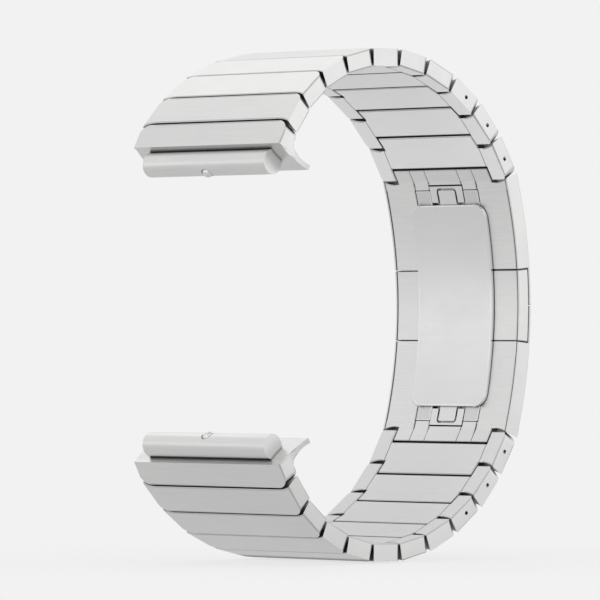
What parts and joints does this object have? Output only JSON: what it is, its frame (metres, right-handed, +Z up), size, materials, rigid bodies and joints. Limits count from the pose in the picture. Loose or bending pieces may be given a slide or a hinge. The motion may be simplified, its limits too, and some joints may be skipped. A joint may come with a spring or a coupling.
{
  "type": "link watch bracelet",
  "caption": "Link bracelet for a watch: tapering brushed links on hinge pins, sliding lug bars and a folding butterfly clasp with side buttons.",
  "frame": {"origin": "middle of the bracelet's width, on the level midway between the two lugs, where the middle of the watch case lies", "axes": "+X along the wrist, +Y from the watch case towards the clasp, +Z up"},
  "size_m": [0.029, 0.0536, 0.07],
  "materials": {
    "brushed": "fine brushed steel, brushed along the wrist",
    "satin": "satin steel",
    "button": "fine brushed steel",
    "polished": "polished steel",
    "pin": "ground steel pins"
  },
  "bodies": {
    "plate": {"clasp_plate": "polished"},
    "button_left": {"button_left": "button"},
    "button_right": {"button_right": "button"},
    "arm_upper": {"arm_upper": "satin", "arm_pin_upper": "pin"},
    "cover_upper": {"cover_upper": "brushed", "cover_pin_upper": "pin"},
    "link_upper_10": {"link_upper_10": "brushed", "pin_upper_10": "pin"},
    "link_upper_9": {"link_upper_9": "brushed", "pin_upper_9": "pin"},
    "link_upper_8": {"link_upper_8": "brushed", "pin_upper_8": "pin"},
    "link_upper_7": {"link_upper_7": "brushed", "pin_upper_7": "pin"},
    "link_upper_6": {"link_upper_6": "brushed", "pin_upper_6": "pin"},
    "link_upper_5": {"link_upper_5": "brushed", "pin_upper_5": "pin"},
    "link_upper_4": {"link_upper_4": "brushed", "pin_upper_4": "pin"},
    "link_upper_3": {"link_upper_3": "brushed", "pin_upper_3": "pin"},
    "link_upper_2": {"link_upper_2": "brushed", "pin_upper_2": "pin"},
    "link_upper_1": {"link_upper_1": "brushed", "pin_upper_1": "pin"},
    "lug_upper": {"lug_upper": "brushed", "pin_upper_0": "pin"},
    "detent_upper": {"detent_upper": "polished"},
    "arm_lower": {"arm_lower": "satin", "arm_pin_lower": "pin"},
    "cover_lower": {"cover_lower": "brushed", "cover_pin_lower": "pin"},
    "link_lower_10": {"link_lower_10": "brushed", "pin_lower_10": "pin"},
    "link_lower_9": {"link_lower_9": "brushed", "pin_lower_9": "pin"},
    "link_lower_8": {"link_lower_8": "brushed", "pin_lower_8": "pin"},
    "link_lower_7": {"link_lower_7": "brushed", "pin_lower_7": "pin"},
    "link_lower_6": {"link_lower_6": "brushed", "pin_lower_6": "pin"},
    "link_lower_5": {"link_lower_5": "brushed", "pin_lower_5": "pin"},
    "link_lower_4": {"link_lower_4": "brushed", "pin_lower_4": "pin"},
    "link_lower_3": {"link_lower_3": "brushed", "pin_lower_3": "pin"},
    "link_lower_2": {"link_lower_2": "brushed", "pin_lower_2": "pin"},
    "link_lower_1": {"link_lower_1": "brushed", "pin_lower_1": "pin"},
    "lug_lower": {"lug_lower": "brushed", "pin_lower_0": "pin"},
    "detent_lower": {"detent_lower": "polished"}
  },
  "joints": [
    {"name": "press_left", "type": "slide", "parent": "plate", "child": "button_left", "axis": [1, 0, 0], "range_m": [0, 0.00055], "stiffness_N_per_m": 600, "springref_m": -0.0005},
    {"name": "press_right", "type": "slide", "parent": "plate", "child": "button_right", "axis": [-1, 0, 0], "range_m": [0, 0.00055], "stiffness_N_per_m": 600, "springref_m": -0.0005},
    {"name": "arm_open_upper", "type": "hinge", "parent": "plate", "child": "arm_upper", "pos_m": [0, 0.05112, 0.01522], "axis": [1, 0, 0], "range_deg": [0, 76]},
    {"name": "cover_open_upper", "type": "hinge", "parent": "arm_upper", "child": "cover_upper", "pos_m": [0, 0.05341, 0.00166], "axis": [1, 0, 0], "range_deg": [-76, 0]},
    {"name": "turn_upper_10", "type": "hinge", "parent": "cover_upper", "child": "link_upper_10", "pos_m": [0, 0.05008, 0.01808], "axis": [1, 0, 0], "range_deg": [-10.5, 2.5]},
    {"name": "turn_upper_9", "type": "hinge", "parent": "link_upper_10", "child": "link_upper_9", "pos_m": [0, 0.04697, 0.02293], "axis": [1, 0, 0], "range_deg": [-10.5, 5]},
    {"name": "turn_upper_8", "type": "hinge", "parent": "link_upper_9", "child": "link_upper_8", "pos_m": [0, 0.04293, 0.02704], "axis": [1, 0, 0], "range_deg": [-10.5, 5]},
    {"name": "turn_upper_7", "type": "hinge", "parent": "link_upper_8", "child": "link_upper_7", "pos_m": [0, 0.03814, 0.03024], "axis": [1, 0, 0], "range_deg": [-10.5, 5]},
    {"name": "turn_upper_6", "type": "hinge", "parent": "link_upper_7", "child": "link_upper_6", "pos_m": [0, 0.03279, 0.03239], "axis": [1, 0, 0], "range_deg": [-10.5, 5]},
    {"name": "turn_upper_5", "type": "hinge", "parent": "link_upper_6", "child": "link_upper_5", "pos_m": [0, 0.02715, 0.0334], "axis": [1, 0, 0], "range_deg": [-10.5, 5]},
    {"name": "turn_upper_4", "type": "hinge", "parent": "link_upper_5", "child": "link_upper_4", "pos_m": [0, 0.02151, 0.03323], "axis": [1, 0, 0], "range_deg": [-10.5, 5]},
    {"name": "turn_upper_3", "type": "hinge", "parent": "link_upper_4", "child": "link_upper_3", "pos_m": [0, 0.01617, 0.03195], "axis": [1, 0, 0], "range_deg": [-10.5, 5]},
    {"name": "turn_upper_2", "type": "hinge", "parent": "link_upper_3", "child": "link_upper_2", "pos_m": [0, 0.01141, 0.02969], "axis": [1, 0, 0], "range_deg": [-10.5, 5]},
    {"name": "turn_upper_1", "type": "hinge", "parent": "link_upper_2", "child": "link_upper_1", "pos_m": [0, 0.00742, 0.02667], "axis": [1, 0, 0], "range_deg": [-10.5, 5]},
    {"name": "turn_upper_0", "type": "hinge", "parent": "link_upper_1", "child": "lug_upper", "pos_m": [0, 0.00437, 0.02315], "axis": [1, 0, 0], "range_deg": [-10.5, 5]},
    {"name": "detent_upper", "type": "slide", "parent": "lug_upper", "child": "detent_upper", "axis": [0, 0.5, 0.866], "range_m": [0, 0.0004], "stiffness_N_per_m": 400, "springref_m": -0.0003},
    {"name": "arm_open_lower", "type": "hinge", "parent": "plate", "child": "arm_lower", "pos_m": [0, 0.05112, -0.01522], "axis": [-1, 0, 0], "range_deg": [0, 76]},
    {"name": "cover_open_lower", "type": "hinge", "parent": "arm_lower", "child": "cover_lower", "pos_m": [0, 0.05341, -0.00166], "axis": [-1, 0, 0], "range_deg": [-76, 0]},
    {"name": "turn_lower_10", "type": "hinge", "parent": "cover_lower", "child": "link_lower_10", "pos_m": [0, 0.05008, -0.01808], "axis": [1, 0, 0], "range_deg": [-2.5, 10.5]},
    {"name": "turn_lower_9", "type": "hinge", "parent": "link_lower_10", "child": "link_lower_9", "pos_m": [0, 0.04697, -0.02293], "axis": [1, 0, 0], "range_deg": [-5, 10.5]},
    {"name": "turn_lower_8", "type": "hinge", "parent": "link_lower_9", "child": "link_lower_8", "pos_m": [0, 0.04293, -0.02704], "axis": [1, 0, 0], "range_deg": [-5, 10.5]},
    {"name": "turn_lower_7", "type": "hinge", "parent": "link_lower_8", "child": "link_lower_7", "pos_m": [0, 0.03814, -0.03024], "axis": [1, 0, 0], "range_deg": [-5, 10.5]},
    {"name": "turn_lower_6", "type": "hinge", "parent": "link_lower_7", "child": "link_lower_6", "pos_m": [0, 0.03279, -0.03239], "axis": [1, 0, 0], "range_deg": [-5, 10.5]},
    {"name": "turn_lower_5", "type": "hinge", "parent": "link_lower_6", "child": "link_lower_5", "pos_m": [0, 0.02715, -0.0334], "axis": [1, 0, 0], "range_deg": [-5, 10.5]},
    {"name": "turn_lower_4", "type": "hinge", "parent": "link_lower_5", "child": "link_lower_4", "pos_m": [0, 0.02151, -0.03323], "axis": [1, 0, 0], "range_deg": [-5, 10.5]},
    {"name": "turn_lower_3", "type": "hinge", "parent": "link_lower_4", "child": "link_lower_3", "pos_m": [0, 0.01617, -0.03195], "axis": [1, 0, 0], "range_deg": [-5, 10.5]},
    {"name": "turn_lower_2", "type": "hinge", "parent": "link_lower_3", "child": "link_lower_2", "pos_m": [0, 0.01141, -0.02969], "axis": [1, 0, 0], "range_deg": [-5, 10.5]},
    {"name": "turn_lower_1", "type": "hinge", "parent": "link_lower_2", "child": "link_lower_1", "pos_m": [0, 0.00742, -0.02667], "axis": [1, 0, 0], "range_deg": [-5, 10.5]},
    {"name": "turn_lower_0", "type": "hinge", "parent": "link_lower_1", "child": "lug_lower", "pos_m": [0, 0.00437, -0.02315], "axis": [1, 0, 0], "range_deg": [-5, 10.5]},
    {"name": "detent_lower", "type": "slide", "parent": "lug_lower", "child": "detent_lower", "axis": [0, 0.5, -0.866], "range_m": [0, 0.0004], "stiffness_N_per_m": 400, "springref_m": -0.0003}
  ],
  "couplings": [
    {"joint": "cover_open_upper", "follows": "arm_open_upper", "ratio": -1},
    {"joint": "cover_open_lower", "follows": "arm_open_lower", "ratio": -1}
  ]
}
